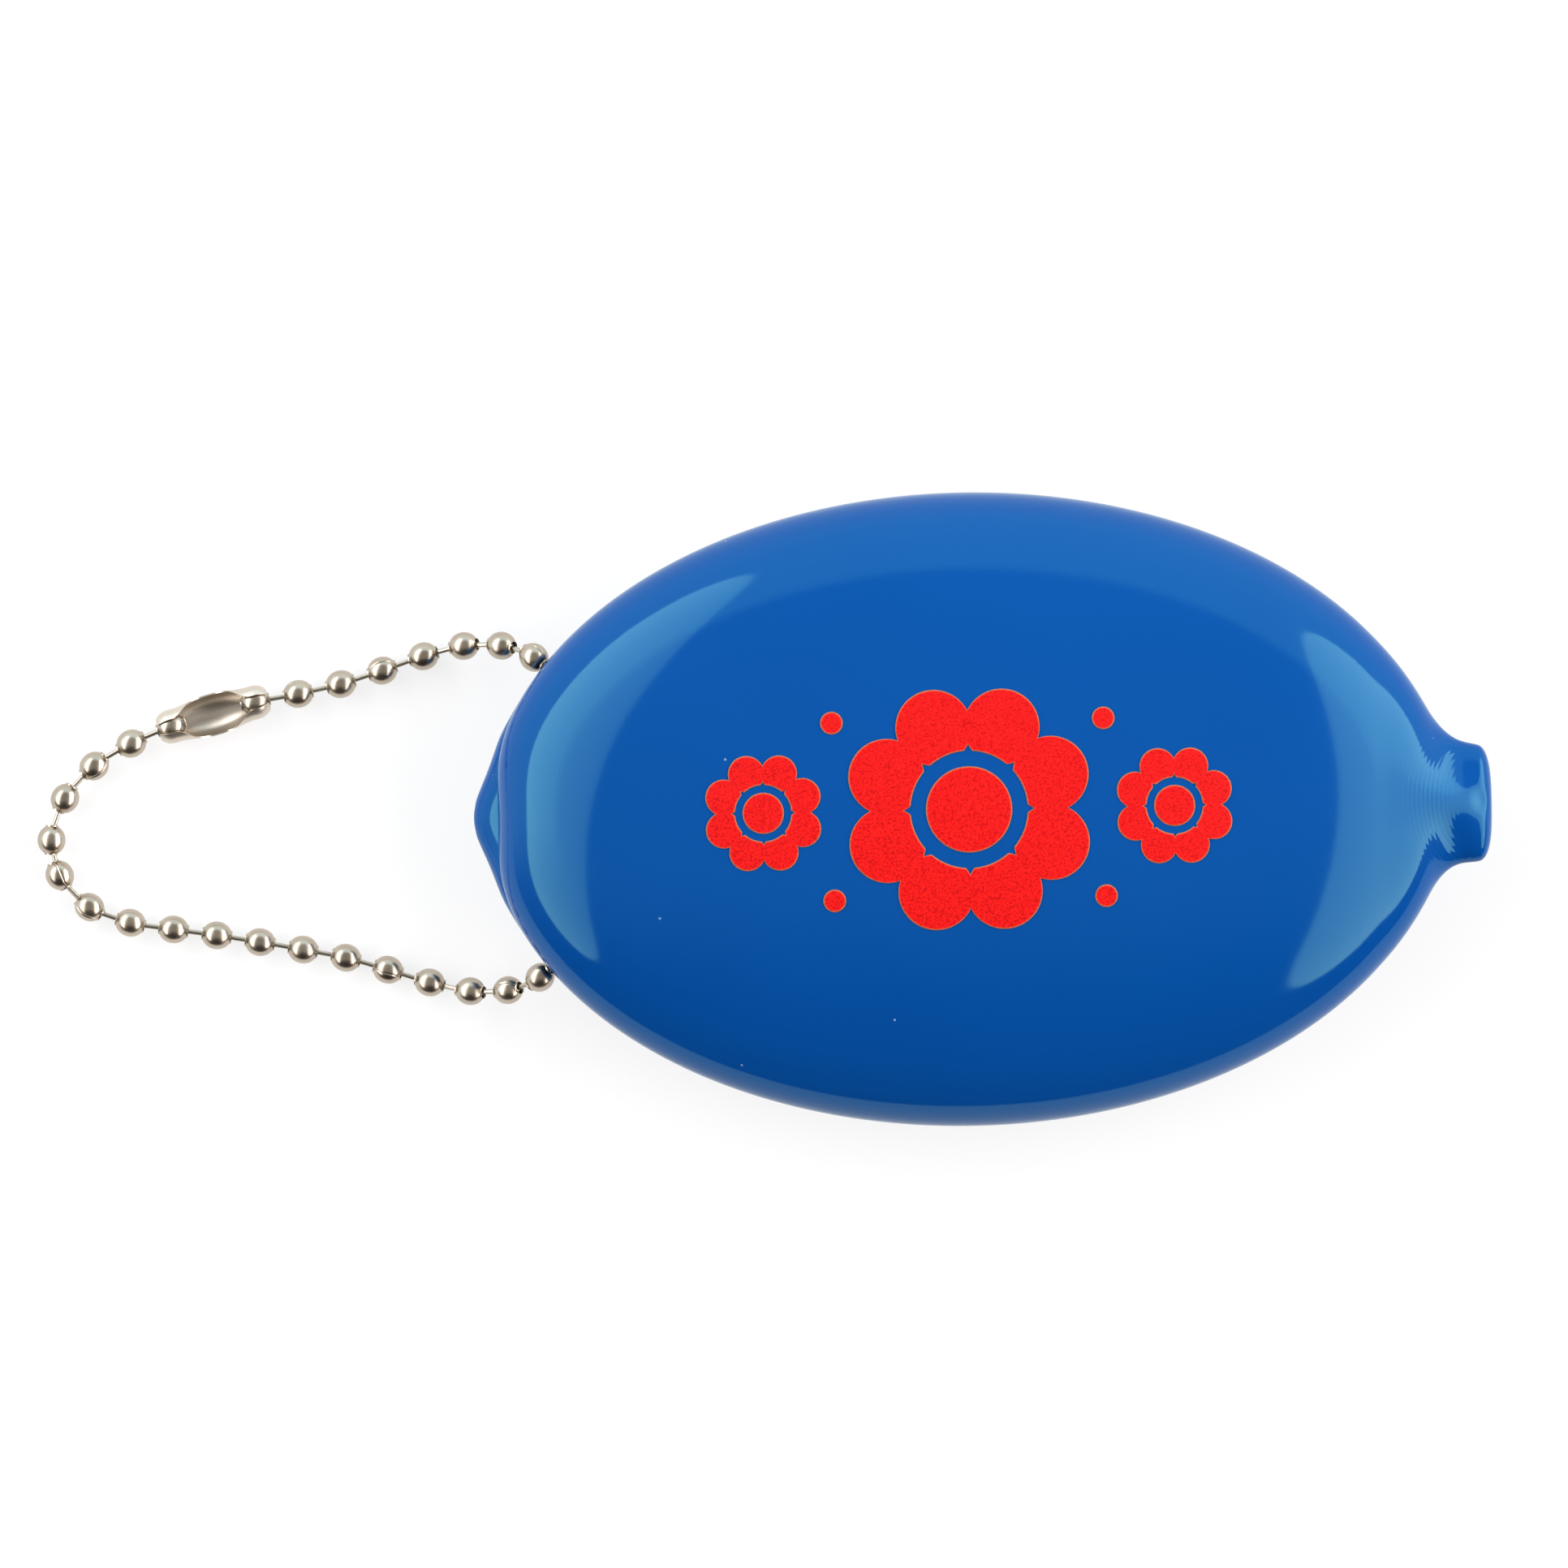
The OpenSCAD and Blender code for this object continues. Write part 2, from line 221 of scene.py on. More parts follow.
def wall_faces(cells, outer, inner):
    """Faces of a wall from which cells of a grid are kept, with outer and inner as grids of point
    numbers that close round their second index: one outer quad and one turned inner quad for each
    kept cell, and a quad across the wall wherever a kept cell borders on one that isn't."""

    def corners(g):
        r = np.roll(g, -1, 1)
        return g[:-1], r[:-1], r[1:], g[1:]

    a, b, c, d = corners(outer)
    e, f, g, h = corners(inner)
    edge = np.zeros((1, cells.shape[1]), bool)
    up = cells & ~np.r_[edge, cells[:-1]] & (np.arange(len(cells)) > 0)[:, None]
    down = cells & ~np.r_[cells[1:], edge] & (np.arange(len(cells)) < len(cells) - 1)[:, None]
    left = cells & ~np.roll(cells, 1, 1)
    right = cells & ~np.roll(cells, -1, 1)
    quads = [
        np.stack([q[m] for q in corner], -1)
        for m, corner in (
            (cells, (a, b, c, d)),
            (cells, (e, h, g, f)),
            (up, (b, a, e, f)),
            (down, (d, c, g, h)),
            (left, (a, d, h, e)),
            (right, (c, b, f, g)),
        )
    ]
    return np.concatenate(quads)


def piece(name, points, quads, material, sharp=SHARP):
    """A mesh object from points in millimetres and quads. Points that nothing uses are left out, and a
    quad with a repeated corner becomes a triangle. Edges sharper than the given angle stay sharp."""
    used, flat = np.unique(quads, return_inverse=True)
    flat = flat.reshape(-1, 4)
    same = flat == np.roll(flat, -1, 1)
    whole = ~same.any(1)
    faces = flat[whole].tolist()
    for k in range(4):
        once = same[:, k] & (same.sum(1) == 1)
        faces += flat[once][:, [j for j in range(4) if j != k]].tolist()
    mesh = bpy.data.meshes.new(name)
    mesh.from_pydata((np.asarray(points, float)[used] * MM).tolist(), [], faces)
    mesh.materials.append(material)
    mesh.shade_smooth()
    mesh.set_sharp_from_angle(angle=math.radians(sharp))
    made = bpy.data.objects.new(name, mesh)
    scene.collection.objects.link(made)
    return made


def adder(tree):
    """A function that adds a node to the tree, with its settings and with each input set or linked."""

    def add(kind, inputs=(), **settings):
        node = tree.nodes.new(kind)
        for key, value in settings.items():
            setattr(node, key, value)
        for key, value in dict(inputs).items():
            if isinstance(value, bpy.types.NodeSocket):
                tree.links.new(value, node.inputs[key])
            else:
                node.inputs[key].default_value = value
        return node

    return add


def new_material(name):
    """A new node material, with its tree, its shader and the function that adds a node to it."""
    made = bpy.data.materials.new(name)
    made.use_nodes = True
    tree = made.node_tree
    return made, tree, tree.nodes["Principled BSDF"], adder(tree)


def maths(add, operation, *values):
    """The result of a sum or a comparison of values, each a number or a socket."""
    return add("ShaderNodeMath", dict(enumerate(values)), operation=operation).outputs[0]


def spread(add, value, low, high, start=0.0, end=1.0, easing="LINEAR"):
    """A number that runs from low to high while the value runs from start to end."""
    ends = {"Value": value, "From Min": start, "From Max": end, "To Min": low, "To Max": high}
    return add("ShaderNodeMapRange", ends, interpolation_type=easing).outputs[0]


def noise(add, place, scale, detail=2.0, roughness=0.5):
    """A cloudy value from 0 to 1 at each place."""
    inputs = {"Vector": place, "Scale": scale, "Detail": detail, "Roughness": roughness}
    return add("ShaderNodeTexNoise", inputs).outputs["Fac"]


def colour_mix(add, share, first, second):
    """A mix of two colours, each a socket or red, green and blue."""
    ends = [(*c, 1) if isinstance(c, tuple) else c for c in (first, second)]
    return add("ShaderNodeMix", {"Factor": share, 6: ends[0], 7: ends[1]}, data_type="RGBA").outputs[2]


def dress(tree, shader, add, colour, rough, height, depth, strength=1.0):
    """Links a shader's colour and roughness, and its relief: a height times a depth in metres."""
    relief = add("ShaderNodeBump", {"Height": height, "Strength": strength, "Distance": depth})
    for key, socket in (("Base Color", colour), ("Roughness", rough), ("Normal", relief.outputs[0])):
        tree.links.new(socket, shader.inputs[key])


def vinyl_material():
    """Glossy blue vinyl: a slight cloudiness in the colour, painted light on the rims (a lighter blue
    where it is seen edge-on), a few specks of dust and hairline scratches, and fine ripples in front of
    the neck."""
    made, tree, shader, add = new_material("vinyl_gloss")
    at = add("ShaderNodeTexCoord").outputs["Object"]
    cloud = noise(add, at, 60.0)
    tint = colour_mix(add, cloud, BLUE, CLOUDY_BLUE)
    # painted light: the rims, seen edge-on, are painted a lighter blue for the light from the table and
    # the walls
    facing = add("ShaderNodeLayerWeight", {"Blend": 0.5}).outputs["Facing"]
    tint = colour_mix(add, spread(add, facing, 0.0, 0.6, 0.55, 0.95), tint, PAINTED_RIM_LIGHT_BLUE)

    # marks: a speck in the middle of some cells, and scratches where long narrow noise is highest
    speck_size, few_specks, few_scratches, faint = 0.030, 0.56, 0.80, 0.4
    specks = add("ShaderNodeTexVoronoi", {"Vector": at, "Scale": 300.0, "Randomness": 1.0})
    near = maths(add, "LESS_THAN", specks.outputs["Distance"], speck_size)
    some = maths(add, "GREATER_THAN", noise(add, at, 190.0, 1.0), few_specks)
    dust = maths(add, "MULTIPLY", near, some)
    long_way = {"Vector": at, "Rotation": (0, 0, 0.35), "Scale": (1500.0, 60.0, 60.0)}
    stretched = add("ShaderNodeMapping", long_way).outputs[0]
    hair = maths(add, "GREATER_THAN", noise(add, stretched, 1.0), few_scratches)
    marks = maths(add, "MULTIPLY", maths(add, "MAXIMUM", dust, hair), faint)
    colour = colour_mix(add, marks, tint, DUSTY_BLUE)

    # ripples: rings 0.38 mm apart about a point at the neck's end, strongest some 6 mm from it
    ring_step, neck_end, uneven, ripple_deep = 0.00038, (0.0425, 0.0, 0.010), 4.5, 0.0000028
    centre = add("ShaderNodeVectorMath", {0: at, 1: neck_end}, operation="SUBTRACT").outputs[0]
    far = add("ShaderNodeVectorMath", {0: centre}, operation="LENGTH").outputs["Value"]
    ring = maths(add, "SINE", maths(add, "MULTIPLY", far, 2 * math.pi / ring_step))
    rise = spread(add, far, 0.0, 1.0, 0.0035, 0.0055)
    fade = spread(add, far, 1.0, 0.0, 0.006, 0.0095)
    rings = maths(add, "MULTIPLY", maths(add, "MULTIPLY", rise, fade), ring)
    height = maths(add, "MULTIPLY_ADD", noise(add, at, 110.0), uneven, rings)

    dress(tree, shader, add, colour, spread(add, cloud, 0.05, 0.10), height, ripple_deep)
    shader.inputs["Specular IOR Level"].default_value = 0.42
    shader.inputs["Specular Tint"].default_value = (0.30, 1.0, 0.80, 1)
    return made


vinyl = vinyl_material()
x, width, front, back, inner_x, inner_share = stations()
angle = turns()
power = 2 + 0.3 * ramp(x, 39, 41)  # an ellipse is 2, and the neck's end is a little squarer
outer = with_dimple(with_rest(with_pinch(with_drip(skin(x, width, front, back, angle, power)))))
inner = skin(
    inner_x,
    (HALF_WIDTH - WALL) * inner_share,
    (FRONT - WALL) * inner_share,
    (BACK - WALL) * inner_share,
    angle,
    np.full(len(inner_x), 2.0),
) + (0, 0, RIM)

# Point numbers of the two skins, each closed to one point at both poles, and the cells over the slit
number = np.arange(outer.size // 3).reshape(outer.shape[:2])
number[0] = number[0, 0]
number[-1] = number[-1, 0]
inner_number = number + outer.size // 3
under = (np.roll(angle, -1) + np.where(angle == angle[-1], 2 * math.pi, 0) + angle) / 2
under = (under % (2 * math.pi)) > math.pi
over_slit = (x[:-1] > SLIT_LEFT - 0.001) & (x[1:] < SLIT_RIGHT + 0.001)
lips = over_slit[:, None] & under[None]

shell = piece(
    "moulded_shell",
    np.r_[outer.reshape(-1, 3), inner.reshape(-1, 3)],
    wall_faces(~lips, number, inner_number),
    vinyl,
)

# The two chain holes are punched through the back half beside the drip, one each side of the slit.
# Beads 1 to 26 lie outside the purse, and seven more lie inside it, from the lower hole to the upper.
HOLE_RADIUS = 1.6
OUTER = 26
HIDDEN_BEADS = np.array([
    [-32.093, -9.997, 6.6], [-30.494, -6.883, 6.1], [-29.51, -3.52, 5.6], [-29.175, 0.0, 5.4],
    [-29.51, 3.52, 5.6], [-30.494, 6.883, 6.1], [-32.093, 9.997, 6.6],
])


def middle_of(node):
    """The middle of a CAD node's box, in millimetres."""
    low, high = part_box(node)
    return np.array((low + high) / 2) / MM


def tube_quads(rows, columns):
    """Quads of a grid of point numbers that closes round its second index, and whose first and last
    rows are single points."""
    g = np.arange(rows * columns).reshape(rows, columns)
    g[0], g[-1] = g[0, 0], g[-1, 0]
    r = np.roll(g, -1, 1)
    return np.stack([g[:-1], g[1:], r[1:], r[:-1]], -1).reshape(-1, 4)


def along(p, q):
    """Two unit vectors square to the line from p to q, and the line's own."""
    d = (q - p) / np.linalg.norm(q - p)
    side = np.cross(d, [0.0, 0.0, 1.0])
    side = side / np.linalg.norm(side)
    return side, np.cross(side, d), d


def rod(name, p, q, radius, material, sides=40):
    """A plain capped rod from p to q: circles about its line, of no radius at both ends."""
    u, v, _ = along(p, q)
    t = np.linspace(0, 2 * math.pi, sides, endpoint=False)[None, :, None]
    share = np.array([0, 1, 1, 0])[:, None, None]
    place = np.array([0, 0, 1, 1])[:, None, None]
    points = p + place * (q - p) + share * radius * (np.cos(t) * u + np.sin(t) * v)
    return piece(name, points.reshape(-1, 3), tube_quads(4, sides), material)


outer_beads = np.array([middle_of("bead_%02d" % n) for n in range(1, OUTER + 1)])
for mouth, within in ((outer_beads[0], HIDDEN_BEADS[-1]), (outer_beads[-1], HIDDEN_BEADS[0])):
    step = (within - mouth) / np.linalg.norm(within - mouth)
    punch = rod("punch", mouth - 2 * step, within + 1.2 * step, HOLE_RADIUS, vinyl)
    cut = shell.modifiers.new("hole", "BOOLEAN")
    cut.object, cut.operation, cut.solver = punch, "DIFFERENCE", "EXACT"
    bpy.context.view_layer.update()
    cut_shell = shell.evaluated_get(bpy.context.evaluated_depsgraph_get())
    cut_mesh = bpy.data.meshes.new_from_object(cut_shell)
    shell.modifiers.clear()
    shell.data = cut_mesh
    bpy.data.objects.remove(punch)
shell.data.set_sharp_from_angle(angle=math.radians(SHARP))
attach(shell, "root")
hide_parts("front_shell")


# The lips are the two halves of the slit back. They are part of the same moulding, so they stay
# joined to it at the rim and at the slit's ends. Each point's share of a turn is worked out but not
# applied to them.
def mouth(points, half_len):
    """Each point's share of its lip's turn: 1 - (3 v^2 - 2 v^3) across the lip, with v from the slit
    to the rim, times (1 - u^2)^1.5 along it, with u from the slit's middle to its ends."""
    u = (points[:, 0] - (SLIT_LEFT + SLIT_RIGHT) / 2) / ((SLIT_RIGHT - SLIT_LEFT) / 2)
    v = np.abs(points[:, 1]) / oval_size(points[:, 0], half_len, HALF_WIDTH)
    return (1 - ramp(v, 0, 1)) * np.clip(1 - u * u, 0, 1) ** 1.5


for side, name in ((1, "upper_lip"), (-1, "lower_lip")):
    half = np.sign(np.cos((angle + np.roll(angle, -1)) / 2 + 1e-9)) == side
    half[-1] = side == 1  # the last cell ends at a full turn, on the +Y side
    points = np.r_[
        with_slit(outer, side, HALF_LEN).reshape(-1, 3), with_slit(inner, side, HALF_LEN).reshape(-1, 3)
    ]
    lip = piece("moulded_" + name, points, wall_faces(lips & half[None], number, inner_number), vinyl)
    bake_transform(lip)
    places = np.empty(len(lip.data.vertices) * 3, np.float32)
    lip.data.vertices.foreach_get("co", places)
    share = mouth(places.reshape(-1, 3) / MM, HALF_LEN)
    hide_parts(name)

# The print is one layer of red screen-printing ink, pressed through a fine mesh, so that it has a
# grain and stands a little proud, with a thin line of lighter colour where it ends.
INK = 0.1
PETALS, FLOWER, PETAL, EYE, EYE_GAP = 8, 7.0, 3.0, 3.4, 1.2
SMALL, SMALL_X, DOT = 0.48, 16.2, 0.9
DARK_RED, RED, EDGE_OLIVE = (0.50, 0.002, 0.004), (1.0, 0.010, 0.008), (0.30, 0.22, 0.10)
# The ink's edge: distances from it, the share of the ink's height there, and how near the edge it is
EDGE_IN = np.array([0, 0, 0.02, 0.05, 0.1, 0.16])
EDGE_LIFT = np.array([-0.06, 0, 0.6, 0.85, 1, 1])
EDGE_NEAR = np.array([1, 1, 1, 0.9, 0.25, 0])


def front_height(x, y):
    """Height of the front dome over a place, from the ellipsoid's equation."""
    return RIM + FRONT * np.sqrt(1 - (x / HALF_LEN) ** 2 - (y / HALF_WIDTH) ** 2)


def ring_quads(rows, columns):
    """Quads of a grid of point numbers that closes round both its indexes, as a ring's does."""
    g = np.arange(rows * columns).reshape(rows, columns)
    g = np.r_[g, g[:1]]
    n = np.roll(g, -1, 1)
    return np.stack([g[:-1], g[1:], n[1:], n[:-1]], -1).reshape(-1, 4)


def ink_patch(centre, inside, outside):
    """A ring of ink about centre, from radius inside to radius outside at each angle, both arrays. Its
    top is level but for its edges, which fall away in a curve over 0.16 mm, and its underside is a
    straight cut under the dome. Gives points, quads and each point's nearness to an edge."""
    across = 7
    wide = (outside - inside)[None]
    edges = EDGE_IN[:, None]
    share = np.linspace(0, 1, across + 2)[1:-1, None]
    core = inside[None] + EDGE_IN[-1] + (wide - 2 * EDGE_IN[-1]) * share
    r = np.r_[inside[None] + edges, core, outside[None] - edges[::-1]]
    up = np.r_[EDGE_LIFT * INK, np.full(across, INK), EDGE_LIFT[::-1] * INK]
    rim = np.r_[EDGE_NEAR, np.zeros(across), EDGE_NEAR[::-1]]
    t = np.linspace(0, 2 * math.pi, r.shape[1], endpoint=False)[None]
    x, y = centre[0] + r * np.cos(t), centre[1] + r * np.sin(t)
    z = front_height(x, y) + up[:, None]
    return np.stack([x, y, z], -1).reshape(-1, 3), ring_quads(*r.shape), np.repeat(rim, r.shape[1])


def petals(share, columns=384):
    """Inner and outer radius of a ring of overlapping round petals, at even angles: where a line from
    the flower's middle meets the nearest petal's circle, but no nearer than the bare ring."""
    t = np.linspace(0, 2 * math.pi, columns, endpoint=False)
    step = 2 * math.pi / PETALS
    off = (t % step) - step / 2
    root = np.sqrt(PETAL**2 - (FLOWER * np.sin(off)) ** 2)
    inside = np.maximum(FLOWER * np.cos(off) - root, EYE + EYE_GAP)
    return inside * share, (FLOWER * np.cos(off) + root) * share


def disc_patch(centre, radius, columns=96):
    """A round dot of ink: rings from the middle to the edge, falling as the other patches' edges do,
    and an underside that is a shallow cone under the dome."""
    across = 7
    level = np.linspace(0, 1, across + 1)[:-1] * (radius - EDGE_IN[-1])
    r = np.r_[level, radius - EDGE_IN[::-1], 0]
    up = np.r_[np.full(across, INK), EDGE_LIFT[::-1] * INK, EDGE_LIFT[0] * INK]
    rim = np.r_[np.zeros(across), EDGE_NEAR[::-1], 1]
    t = np.linspace(0, 2 * math.pi, columns, endpoint=False)[None]
    x, y = centre[0] + r[:, None] * np.cos(t), centre[1] + r[:, None] * np.sin(t)
    z = front_height(x, y) + up[:, None]
    return np.stack([x, y, z], -1).reshape(-1, 3), tube_quads(len(r), columns), np.repeat(rim, columns)


def ink_material():
    """Red ink: a fine grain in colour and gloss, and a thin olive line along its edges."""
    made, tree, shader, add = new_material("ink_grain")
    at = add("ShaderNodeTexCoord").outputs["Object"]
    grain = noise(add, at, 5600.0, roughness=0.7)
    red = colour_mix(add, spread(add, grain, 0.0, 1.0, 0.38, 0.62), DARK_RED, RED)
    edge = add("ShaderNodeAttribute", attribute_name="ink_edge").outputs["Fac"]
    colour = colour_mix(add, maths(add, "MULTIPLY", edge, 0.75), red, EDGE_OLIVE)
    rough = spread(add, grain, 0.42, 0.7)
    dress(tree, shader, add, colour, rough, grain, 0.00003, strength=0.6)
    shader.inputs["Specular IOR Level"].default_value = 0.12
    return made


patches = []
for share, at_x in ((1, 0), (SMALL, -SMALL_X), (SMALL, SMALL_X)):
    patches.append(ink_patch((at_x, 0), *petals(share)))
    patches.append(disc_patch((at_x, 0), EYE * share))
dot_x = (FLOWER + PETAL + SMALL_X - (FLOWER + PETAL) * SMALL) / 2
patches += [disc_patch((sx * dot_x, sy * FLOWER), DOT) for sx in (-1, 1) for sy in (-1, 1)]
starts = np.cumsum([0] + [len(p) for p, _, _ in patches])
print_points = np.concatenate([p for p, _, _ in patches])
print_quads = np.concatenate([q + s for (_, q, _), s in zip(patches, starts)])
ink = piece("flower_print", print_points, print_quads, ink_material(), sharp=80)
near_edge = np.concatenate([e for _, _, e in patches])[np.unique(print_quads)]
ink_edge = ink.data.attributes.new("ink_edge", "FLOAT", "POINT")
ink_edge.data.foreach_set("value", near_edge.astype(np.float32))
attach(ink, "root")
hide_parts("front_print")

# The beads of the chain. Each is a strip of nickel-plated steel rolled into a ball round the heads of
# two wires, so it has a fine seam from end to end and a small collar at each hole.
BEAD_RADIUS, BEAD_REACH = 1.12, 1.19
HOLE_IN_BEAD, BEAD_INSIDE = 0.455, 0.985
COLLAR_X = np.array([1.075, 1.09, 1.15, 1.185, 1.19, 1.17, 1.10])
COLLAR_R = np.array([0.555, 0.525, 0.52, 0.51, 0.49, 0.468, HOLE_IN_BEAD])
SEAM_DEEP, SEAM_HALF = 0.045, 2.2
BEAD_DARK, BEAD_PALE = (0.42, 0.355, 0.275), (0.58, 0.505, 0.41)


def nickel_material(name, dark, pale, rough, scratch):
    """Bright nickel plate: a slight warm stain, and a gloss that small scratches break up."""
    made, tree, shader, add = new_material(name)
    at = add("ShaderNodeTexCoord").outputs["Object"]
    stain = noise(add, at, 700.0, 3.0)
    colour = colour_mix(add, stain, dark, pale)
    gloss = spread(add, stain, rough * 0.7, rough * 1.3)
    dress(tree, shader, add, colour, gloss, noise(add, at, 2600.0), scratch)
    shader.inputs["Metallic"].default_value = 1.0
    return made


def bead_points(centre, axis, roll):
    """A hollow ball about its axis: a profile of distance along it and radius, from one hole over the
    outside to the other and back inside, turned round with a groove at the seam, whose depth is a
    bell curve of the angle from it."""
    lift = np.radians(np.linspace(-60, 60, 27))
    ball_x, ball_r = BEAD_REACH * np.sin(lift), BEAD_RADIUS * np.cos(lift) ** 0.92
    within = np.radians(np.linspace(62.5, -62.5, 13))
    px = np.r_[-COLLAR_X[::-1], ball_x, COLLAR_X, BEAD_INSIDE * np.sin(within)]
    pr = np.r_[COLLAR_R[::-1], ball_r, COLLAR_R, BEAD_INSIDE * np.cos(within)]
    turn = np.radians(np.r_[0, 1.5, 3.0, 6, np.linspace(14, 346, 34), 354, 357, 358.5])
    apart = np.minimum(turn, 2 * math.pi - turn)
    groove = SEAM_DEEP * np.exp(-((apart / math.radians(SEAM_HALF)) ** 2))
    collar = np.zeros(len(COLLAR_X))
    outside = np.r_[collar, np.ones(len(lift)), collar, np.zeros(len(within))]
    r = pr[:, None] - outside[:, None] * groove[None]
    u, v, d = along(centre, centre + axis)
    t = turn[None, :, None] + roll
    return centre + px[:, None, None] * d + r[..., None] * (np.cos(t) * u + np.sin(t) * v)


# Each bead's axis halves the angle between its two wires, and its seam is turned by chance.
beads = np.r_[outer_beads, HIDDEN_BEADS]
links = np.roll(beads, -1, 0) - beads
links /= np.linalg.norm(links, axis=1)[:, None]
axes = links + np.roll(links, 1, 0)
axes /= np.linalg.norm(axes, axis=1)[:, None]
rolls = np.random.default_rng(11).uniform(0, 2 * math.pi, len(beads))
bead_metal = nickel_material("nickel_bead", BEAD_DARK, BEAD_PALE, 0.27, 0.000006)
bodies = frame["record"]["behaviour"]["bodies"]
body_of = {node: body for body, nodes in bodies.items() for node in nodes}
for n in range(OUTER):
    shape = bead_points(beads[n], axes[n], rolls[n])
    name = "bead_%02d" % (n + 1)
    bead_faces = ring_quads(*shape.shape[:2])
    bead = piece("rolled_" + name, shape.reshape(-1, 3), bead_faces, bead_metal, sharp=50)
    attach(bead, body_of[name])
    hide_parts(name)
hidden_shapes = [
    bead_points(beads[n], axes[n], rolls[n]).reshape(-1, 3) for n in range(OUTER, len(beads))
]
hidden_faces = [bead_faces + k * len(s) for k, s in enumerate(hidden_shapes)]
hidden = piece(
    "rolled_threaded_beads",
    np.concatenate(hidden_shapes),
    np.concatenate(hidden_faces),
    bead_metal,
    sharp=50,
)
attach(hidden, "root")
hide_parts("threaded_beads")

# The links are short wires with a head formed at each end. Their CAD shapes are right, so they only
# get their metal.
WIRE_DARK, WIRE_PALE = (0.46, 0.40, 0.32), (0.62, 0.56, 0.47)
wire_metal = nickel_material("nickel_wire", WIRE_DARK, WIRE_PALE, 0.28, 0.000003)
for name in ["threaded_links"] + ["link_%02d" % n for n in range(1, 25)]:
    node = frame["nodes"][name]
    node.data.materials.clear()
    node.data.materials.append(wire_metal)

# The connector is a strip of thin nickel-plated sheet folded into a trough. At each end two wings curl
# over a bead and leave a slot for its wire, and between the wings the edges are cut down in a curve.
SHEET, PAST_BEAD = 0.12, 1.03
CUP, TROUGH_HALF, TROUGH_DEEP = 1.36, 1.70, 1.54
LOW_EDGE, WING = 80, 156
SHEET_DARK, SHEET_PALE = (0.58, 0.50, 0.41), (0.80, 0.73, 0.63)


def connector_skin(start, end, inset, rows=97, columns=49):
    """The trough's outer or inner skin: at each place along it an arc about the line from bead to bead,
    half as wide and as deep as the place's own sizes, and reaching up to the place's own angle from
    straight down: LOW_EDGE in the middle and WING at the beads. Past each bead the arc closes in as a
    circle does."""
    u, v, d = along(start, end)
    span = np.linalg.norm(end - start)
    s = np.linspace(-1, 1, rows) * (span / 2 + PAST_BEAD)
    past = np.clip(np.abs(s) - span / 2, 0, None)
    middle = 1 - ramp(np.abs(s), 0.2, span / 2 - 0.4)
    close = np.sqrt(1 - (past / CUP) ** 2)
    half = (CUP + (TROUGH_HALF - CUP) * middle) * close - inset
    deep = (CUP + (TROUGH_DEEP - CUP) * middle) * close - inset
    reach = np.radians(LOW_EDGE + (WING - LOW_EDGE) * ramp(np.abs(s), 0.5, span / 2 - 0.2))
    a = np.linspace(-1, 1, columns)[None] * reach[:, None]
    across = half[:, None] * np.sin(a)
    down = -deep[:, None] * np.cos(a)
    return (start + end) / 2 + s[:, None, None] * d + across[..., None] * u + down[..., None] * v


def sheet_quads(rows, columns):
    """Quads of a closed sheet made of an outer and an inner grid and the strips along their edges."""
    g = np.arange(rows * columns).reshape(rows, columns)
    h = g + rows * columns
    top = np.stack([g[:-1, :-1], g[:-1, 1:], g[1:, 1:], g[1:, :-1]], -1).reshape(-1, 4)
    low = np.stack([h[:-1, :-1], h[1:, :-1], h[1:, 1:], h[:-1, 1:]], -1).reshape(-1, 4)
    edge = np.r_[g[0, :-1], g[:-1, -1], g[-1, :0:-1], g[:0:-1, 0]]
    other = edge + rows * columns
    strip = np.stack([np.roll(edge, -1), edge, other, np.roll(other, -1)], -1)
    return np.concatenate([top, low, strip])[:, ::-1]


def connector_material():
    """Nickel-plated sheet, brushed along its length, which lies 15 degrees from X, by the rolls that
    folded it."""
    made, tree, shader, add = new_material("nickel_sheet")
    at = add("ShaderNodeTexCoord").outputs["Object"]
    turned = add("ShaderNodeMapping", {"Vector": at, "Rotation": (0, 0, math.radians(-15))}).outputs[0]
    drawn = add("ShaderNodeMapping", {"Vector": turned, "Scale": (160.0, 2600.0, 2600.0)}).outputs[0]
    brush = noise(add, drawn, 1.0, 3.0)
    colour = colour_mix(add, brush, SHEET_DARK, SHEET_PALE)
    dress(tree, shader, add, colour, spread(add, brush, 0.3, 0.42), brush, 0.0000012)
    shader.inputs["Metallic"].default_value = 1.0
    return made


skins = [connector_skin(beads[7], beads[8], inset) for inset in (0, SHEET)]
trough = piece(
    "folded_connector",
    np.concatenate([s.reshape(-1, 3) for s in skins]),
    sheet_quads(*skins[0].shape[:2]),
    connector_material(),
)
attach(trough, body_of["connector"])
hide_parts("connector")

# The table and the light. The table is white, and it isn't seen from below, so that the purse's back
# can be. A soft box stands left of the purse and one right of it. The studio's walls are bright up to
# about 40 degrees, its ceiling is dim, and its near side is dark.
floor_mesh = bpy.data.meshes.new("table")
floor_mesh.from_pydata([(-3, -3, 0), (3, -3, 0), (3, 3, 0), (-3, 3, 0)], [], [(0, 1, 2, 3)])
table = bpy.data.objects.new("table", floor_mesh)
table.location = (0, 0, -0.00002)
scene.collection.objects.link(table)


